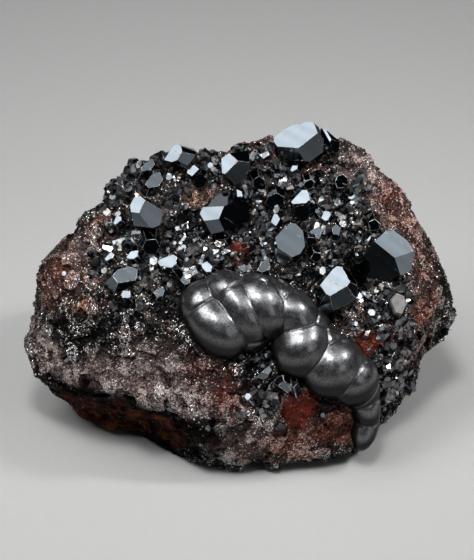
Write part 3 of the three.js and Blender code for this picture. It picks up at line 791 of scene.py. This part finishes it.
BEHIND = {"rust": 0.35, "orange": 0.15, "pale": 0.2, "painted_shade": 0.0, "crust": 0.0}


def on_rock(px, py):
    """The point of the lump that is seen at a pixel."""
    hit = lump_surface.ray_cast(EYE, sight(px, py))[0]
    return hit if hit else seen_near(px, py, 0)


UNSEEN = (6 * MM, 16 * MM)  # along y, from where the picture still reaches to where it doesn't
EDGE_OF_PATCH = (0.45, 1.3)  # of its radius, from full strength to none
for side, skin in skins.items():
    points = points_of(skin.data)
    unseen = smooth(points[:, 1], *UNSEEN)
    for name, patches in STAINS.items():
        bare = np.ones(len(points))
        for px, py, radius, strength in patches:
            away = np.linalg.norm(points - np.array(on_rock(px, py)), axis=1)
            inner, outer = (share * radius * MM for share in EDGE_OF_PATCH)
            bare *= 1 - strength * (1 - smooth(away, inner, outer))
        cover = np.maximum(1 - bare, unseen * BEHIND[name])
        lay(skin.data, name, cover)
        print(name, "covers", round(100 * float((cover > 0.3).mean())), "% of the", side)

# %% [markdown]
# ## Breaking the rock
# Each block and each grain gets its own level and its own tilt. What would stand out is worn off
# at the same height, as on a lump that has been handled, and the gaps between the grains stay
# deep and dark. Rust fills the gaps, so rusty rock is smoother.

# %% A tree that breaks a surface into tilted blocks


def geometry_tree(name, inputs):
    """A Geometry Nodes tree with a geometry input, named number inputs and a geometry output."""
    tree = bpy.data.node_groups.new(name, "GeometryNodeTree")
    tree.interface.new_socket("Geometry", in_out="INPUT", socket_type="NodeSocketGeometry")
    for label, kind in inputs.items():
        tree.interface.new_socket(label, in_out="INPUT", socket_type="NodeSocket" + kind)
    tree.interface.new_socket("Geometry", in_out="OUTPUT", socket_type="NodeSocketGeometry")
    nodes = Tree(tree)
    start = tree.nodes.new("NodeGroupInput")
    return nodes, {s.name: Socket(nodes, s) for s in start.outputs if s.name}


def number(nodes, name):
    """The number that was laid on the surface under a name."""
    return nodes.node("GeometryNodeInputNamedAttribute", {"data_type": "FLOAT"}, {"Name": name})


def apply_tree(piece, nodes, values):
    """Runs a tree on a piece and keeps the result."""
    modifier = piece.modifiers.new(nodes.tree.name, "NODES")
    modifier.node_group = nodes.tree
    for item in nodes.tree.interface.items_tree:
        if item.in_out == "INPUT" and item.name in values:
            modifier[item.identifier] = values[item.name]
    settle(piece)


def blocks(nodes, place, size, share):
    """Heights of blocks of a size: each has its own level and its own tilt."""
    _, level, slope = nodes.tilted_cells(place, size)
    return (level * 0.3 + slope * 0.9) * share


SIZES = {"Block size": 3.8 * MM, "Block share": 0.8, "Grain size": 1.8 * MM, "Grain share": 0.75,
         "Fine size": 0.85 * MM, "Fine share": 0.6, "Highest": 0.25 * MM}
WOBBLE = {"per metre": 300.0, "reach": 1.4 * MM}  # so that the blocks' edges aren't straight
ROUNDED = 0.5 * MM  # how softly what stands out is worn off
breaking, given = geometry_tree("break_into_blocks", dict.fromkeys(SIZES, "Float"))
place = breaking.node("GeometryNodeInputPosition")
wobble = {"Vector": place, "Scale": WOBBLE["per metre"], "Detail": 3.0}
wobble = breaking.node("ShaderNodeTexNoise", {}, wobble, "Color")
wobble = breaking.vector("SUBTRACT", wobble, (0.5, 0.5, 0.5))
bent = breaking.vector("ADD", place, breaking.scaled(wobble, WOBBLE["reach"]))
rise = blocks(breaking, bent, given["Block size"], given["Block share"])
for kind in ("Grain", "Fine"):
    rise = rise + blocks(breaking, bent, given[kind + " size"], given[kind + " share"])
worn_off = {0: rise, 1: given["Highest"], 2: ROUNDED}
rise = breaking.node("ShaderNodeMath", {"operation": "SMOOTH_MIN"}, worn_off)
rise = rise * number(breaking, "free") * (1 - number(breaking, "rust") * 0.5)
outwards = breaking.scaled(breaking.node("GeometryNodeInputNormal"), rise)
noted = breaking.node(
    "GeometryNodeStoreNamedAttribute",
    {"data_type": "FLOAT", "domain": "POINT"},
    {"Geometry": given["Geometry"], "Name": "height", "Value": rise / MM},
)
moved = breaking.node("GeometryNodeSetPosition", {}, {"Geometry": noted, "Offset": outwards})
breaking.node("NodeGroupOutput", {}, {0: moved})

# %% [markdown]
# The underside has to stay flat, because the lump rests on it, and nothing may grow past the
# solids' box. Points that came out too far are brought back. Each skin is then cut to its own
# side, where the two overlap a little, and the front one is parted in halves that meet along the
# same points, so that no seam shows.

# %% Break the rock, keep it inside its box and part it
RIM = 0.3 * MM  # left free inside the box for the grit
WORN = 0.35  # how far each point is drawn towards its neighbours
low, high = np.array(SOLIDS_BOX)
for skin in skins.values():
    apply_tree(skin, breaking, SIZES)
    worn = skin.modifiers.new("worn", "SMOOTH")
    worn.factor, worn.iterations = WORN, 1
    settle(skin)
    put_points(skin.data, np.clip(points_of(skin.data), low + [RIM, RIM, 0], high - RIM))

SEAM = {"x": 1 * MM, "y": 13 * MM, "overlap": 0.4 * MM}
PARTS = {
    "rock_left": ("front", lambda p: p.y < SEAM["y"] + SEAM["overlap"] and p.x < SEAM["x"]),
    "rock_right": ("front", lambda p: p.y < SEAM["y"] + SEAM["overlap"] and p.x >= SEAM["x"]),
    "rock_back": ("back", lambda p: p.y > SEAM["y"] - SEAM["overlap"]),
}


def part_of(skin, name, belongs):
    """A new piece made of the faces of a skin whose middles belong to it."""
    bm = bmesh.new()
    bm.from_mesh(skin.data)
    others = [face for face in bm.faces if not belongs(face.calc_center_median())]
    bmesh.ops.delete(bm, geom=others, context="FACES")
    part = shown(mesh_of(bm, name), name)
    part.data.shade_flat()
    print(name + ":", triangles(part.data), "triangles")
    return part


rocks = [part_of(skins[side], name, belongs) for name, (side, belongs) in PARTS.items()]
for skin in skins.values():
    bpy.data.objects.remove(skin)
for rock in rocks:
    rock.data.materials.clear()
    rock.data.materials.append(grains.material)
    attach(rock, "root")
    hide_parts("matrix")

# %% [markdown]
# ## The crystals
# Each crystal is the solid itself, only with its edges broken by about a tenth of a millimetre,
# since a perfectly sharp edge never catches the light as real ones do. No two faces are equally
# bright, so each carries its own polish as an attribute, and a few faces are painted brighter or
# darker there, as painted light, to stand for light that they catch or miss.

# %% Break the crystals' edges
EDGE = 0.12 * MM
FLAT = math.radians(1)  # two faces that meet at less are taken as one
SHARP = math.radians(12)  # an edge whose faces meet at more is broken
SAME_WAY = 0.94  # the cosine of the widest angle at which a face still counts as facing a way
USUAL_POLISH = 0.72
POLISH = {"crystal_right": 1.0, "crystal_ridge_left": 0.62, "crystal_centre": 0.68}
# painted light: one face of a crystal made brighter or darker than its others, for light it catches or
# misses
PAINTED_FACE_LIGHT = {  # one face of a crystal that is brighter or duller than its others
    "crystal_crown": (facing(324, 30), 3.4),
    "crystal_left_upper": (facing(3, 18), 1.2),
    "crystal_right": (facing(234, 24), 0.3),
    "crystal_lower_right": (facing(292, 27), 0.35),
}


def polished(mesh, polish=USUAL_POLISH, own=None):
    """Gives each face its polish. Faces that look along one direction can be painted brighter or darker,
    as painted light.
    """
    luck = np.random.default_rng(len(mesh.polygons)).uniform(0.92, 1.08, len(mesh.polygons))
    values = polish * luck
    if own:
        way, times = own
        values *= [times if face.normal.dot(way) > SAME_WAY else 1 for face in mesh.polygons]
    lay(mesh, "polish", values, on="FACE")


for name in sorted(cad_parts):
    if not name.startswith("crystal_"):
        continue
    solid = merged(name)
    bmesh.ops.dissolve_limit(solid, angle_limit=FLAT, verts=solid.verts, edges=solid.edges)
    crystal = shown(mesh_of(solid, name), name.replace("crystal_", "faces_"), faces.material)
    crystal.data.materials.append(worn_edges.material)
    bevel = crystal.modifiers.new("edges", "BEVEL")
    bevel.width = EDGE
    bevel.segments = 2
    bevel.material = 1
    bevel.limit_method = "ANGLE"
    bevel.angle_limit = SHARP
    settle(crystal)
    polished(crystal.data, POLISH.get(name, USUAL_POLISH), PAINTED_FACE_LIGHT.get(name))
    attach(crystal, "root")
    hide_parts(name)
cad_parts["quartz_grain"].data.materials.clear()
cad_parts["quartz_grain"].data.materials.append(quartz.material)

# %% [markdown]
# ## The druse, the flakes and the grit
# Between the large crystals the rock is crowded with small ones, a druse. Elsewhere it is full of
# broken flakes of the same ore, whose faces glint in all directions, and of dull grit. No two
# stand alike, but they are the same few shapes, so Geometry Nodes scatters them: points on the
# rock, a body on each, turned and tilted at random. Nothing is set near the resting face, in the
# painted shade or on bright orange rust, or right beside another piece.

# %% Scatter small crystals, flakes and grit
DRUSE = {"Per square metre": 1.3e6, "Bare share": 0.008, "Crust share": 1.0, "Rust loss": 0.7,
         "Smallest": 0.42 * MM, "Largest": 1.9 * MM, "Tilt": 0.9}
FLAKES = {"Per square metre": 3.3e6, "Bare share": 1.0, "Crust share": 0.25, "Rust loss": 0.8,
          "Smallest": 0.26 * MM, "Largest": 1.0 * MM, "Tilt": 0.65}
FLAKES_BEHIND = {**FLAKES, "Per square metre": 2.0e6}  # where the rock is seen less
GRIT = {"Per square metre": 0.2e6, "Bare share": 1.0, "Crust share": 0.35, "Rust loss": 0.3,
        "Smallest": 0.25 * MM, "Largest": 0.75 * MM, "Tilt": 3.0}
CLEAR_OF_TABLE = (1.2 * MM, 3.0 * MM)  # heights between which the scatter sets in
MOSTLY_SMALL = 2.6  # the power that makes large ones rare


def scatter_tree(name, body, material):
    """Scatters a small body over a surface by the attributes that lie on it."""
    nodes, given = geometry_tree(name, {**dict.fromkeys(DRUSE, "Float"), "Seed": "Int"})
    height = nodes.node("ShaderNodeSeparateXYZ", {}, {0: nodes.node("GeometryNodeInputPosition")}, "Z")
    room = nodes.between(number(nodes, "free"), 0.45, 0.9) * nodes.between(height, *CLEAR_OF_TABLE)
    room = room * (1 - number(nodes, "painted_shade")) * (1 - number(nodes, "orange"))
    room = room * (1 - number(nodes, "pale") * 0.7)
    cover = given["Bare share"] + number(nodes, "crust") * (given["Crust share"] - given["Bare share"])
    density = given["Per square metre"] * cover * room * (1 - number(nodes, "rust") * given["Rust loss"])
    spread = nodes.node(
        "GeometryNodeDistributePointsOnFaces",
        {"distribute_method": "RANDOM"},
        {"Mesh": given["Geometry"], "Density": density, "Seed": given["Seed"]},
    )
    spread_node = spread.socket.node
    upright = Socket(nodes, spread_node.outputs["Rotation"])
    tilt = nodes.node(
        "FunctionNodeRandomValue",
        {"data_type": "FLOAT_VECTOR"},
        {"Min": (-1, -1, -3.2), "Max": (1, 1, 3.2), "Seed": given["Seed"]},
    )
    spin = nodes.node("ShaderNodeCombineXYZ", {}, {0: given["Tilt"], 1: given["Tilt"], 2: 1.0})
    turned = nodes.node(
        "FunctionNodeRotateRotation",
        {"rotation_space": "LOCAL"},
        {0: upright, 1: nodes.vector("MULTIPLY", tilt, spin)},
    )
    chance = nodes.node(
        "FunctionNodeRandomValue", {"data_type": "FLOAT"}, {2: 0.0, 3: 1.0, "Seed": given["Seed"]}, 1
    )
    proportions = nodes.node(
        "FunctionNodeRandomValue",
        {"data_type": "FLOAT_VECTOR"},
        {"Min": (0.75, 0.65, 0.6), "Max": (1.25, 1.0, 1.4), "Seed": given["Seed"] + 1},
    )
    size = given["Smallest"] + (given["Largest"] - given["Smallest"]) * chance**MOSTLY_SMALL
    scale = nodes.scaled(proportions, size)
    stand = nodes.node(
        "GeometryNodeInstanceOnPoints",
        {},
        {"Points": spread, "Instance": body(nodes), "Rotation": turned, "Scale": scale},
    )
    real = nodes.node("GeometryNodeRealizeInstances", {}, {"Geometry": stand})
    finish = nodes.node("GeometryNodeSetMaterial", {}, {"Geometry": real, "Material": material})
    nodes.node("NodeGroupOutput", {}, {0: finish})
    return nodes


def squat_crystal(nodes):
    """Six sides, a flat top and a wider foot, two units across."""
    cone = {"Vertices": 6, "Side Segments": 1, "Radius Top": 0.62, "Radius Bottom": 1.0, "Depth": 1.5}
    made = nodes.node("GeometryNodeMeshCone", {"fill_type": "NGON"}, cone)
    return nodes.node("GeometryNodeTransform", {}, {"Geometry": made, "Translation": (0, 0, -0.75)})


def flake(nodes):
    """A low point with four faces, about one unit across."""
    cone = {"Vertices": 4, "Side Segments": 1, "Radius Top": 0.0, "Radius Bottom": 0.56, "Depth": 0.4}
    made = nodes.node("GeometryNodeMeshCone", {"fill_type": "NGON"}, cone)
    change = {"Translation": (0, 0, -0.2), "Scale": (1.25, 0.8, 1.0)}
    return nodes.node("GeometryNodeTransform", {}, {"Geometry": made, **change})


def angular_grain(nodes):
    """A grain with twenty faces, one unit across."""
    made = nodes.node("GeometryNodeMeshIcoSphere", {}, {"Radius": 0.5, "Subdivisions": 1})
    return nodes.node("GeometryNodeTransform", {}, {"Geometry": made, "Scale": (1.0, 0.8, 0.7)})


def scatter(rock, name, body, material, values):
    crop = shown(rock.data.copy(), name)
    apply_tree(crop, scatter_tree(name, body, material), values)
    put_points(crop.data, np.clip(points_of(crop.data), low, high))
    crop.data.shade_flat()
    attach(crop, "root")
    print(name + ":", triangles(crop.data), "triangles")


for number_of_rock, rock in enumerate(rocks):
    side = rock.name.replace("rock_", "")
    values = {**DRUSE, "Seed": 11 + number_of_rock}
    scatter(rock, "druse_" + side, squat_crystal, druse.material, values)
    values = {**(FLAKES_BEHIND if side == "back" else FLAKES), "Seed": 21 + number_of_rock}
    scatter(rock, "flakes_" + side, flake, flakes.material, values)
    values = {**GRIT, "Seed": 5 + number_of_rock}
    scatter(rock, "grit_" + side, angular_grain, grains.material, values)

# %% [markdown]
# A few crystals of the druse are large enough to be told apart in the picture. They are set one
# by one, each where it is seen and turned as it shines.

# %% Set the crystals that can be told apart
TO_KEY, TO_SOFT, TO_SIDE = (130, 23), (60, 24), (358, 22)
TELLTALES = [  # pixel x, pixel y, width in millimetres, facing
    (137, 168, 2.2, TO_SOFT), (211, 166, 1.6, TO_KEY), (268, 193, 1.3, TO_KEY),
    (301, 186, 1.7, TO_SOFT), (352, 197, 1.8, TO_KEY), (317, 212, 1.3, TO_SOFT),
    (104, 274, 1.2, TO_KEY), (184, 248, 1.5, TO_KEY), (196, 258, 1.4, TO_KEY),
    (227, 267, 1.1, TO_KEY), (126, 220, 0.9, TO_KEY), (235, 268, 0.8, TO_KEY),
    (246, 355, 1.1, TO_KEY), (270, 369, 1.6, TO_SOFT), (262, 366, 1.2, TO_SIDE),
    (375, 360, 1.2, TO_SOFT), (378, 380, 1.3, TO_KEY), (322, 415, 1.3, TO_SIDE),
    (325, 425, 1.1, TO_SOFT), (152, 164, 1.8, TO_SIDE), (135, 163, 2.4, TO_SIDE),
    (280, 199, 1.2, TO_SOFT), (232, 243, 1.0, TO_SIDE), (334, 262, 1.3, TO_SOFT),
]
SHAPE = {"radius1": 0.6, "radius2": 0.46, "depth": 1.1}  # in widths of the crystal
loose = bmesh.new()
for px, py, width, way in TELLTALES:
    foot = on_rock(px, py)
    axis = facing(*way)
    spin = Matrix.Rotation(math.radians(px * 7 + py), 3, "Z")  # no two alike
    turned = axis.to_track_quat("Z", "Y").to_matrix() @ spin
    place = Matrix.Translation(foot + axis * 0.35 * width * MM) @ turned.to_4x4()
    stem = place @ Matrix.Translation((0, 0, -0.55 * width * MM))
    size = {key: share * width * MM for key, share in SHAPE.items()}
    bmesh.ops.create_cone(loose, cap_ends=True, segments=6, matrix=stem, **size)
bmesh.ops.recalc_face_normals(loose, faces=loose.faces)
telltales = shown(mesh_of(loose, "telltales"), "telltale_crystals", faces.material)
polished(telltales.data)
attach(telltales, "root")
print(len(TELLTALES), "crystals set by hand")
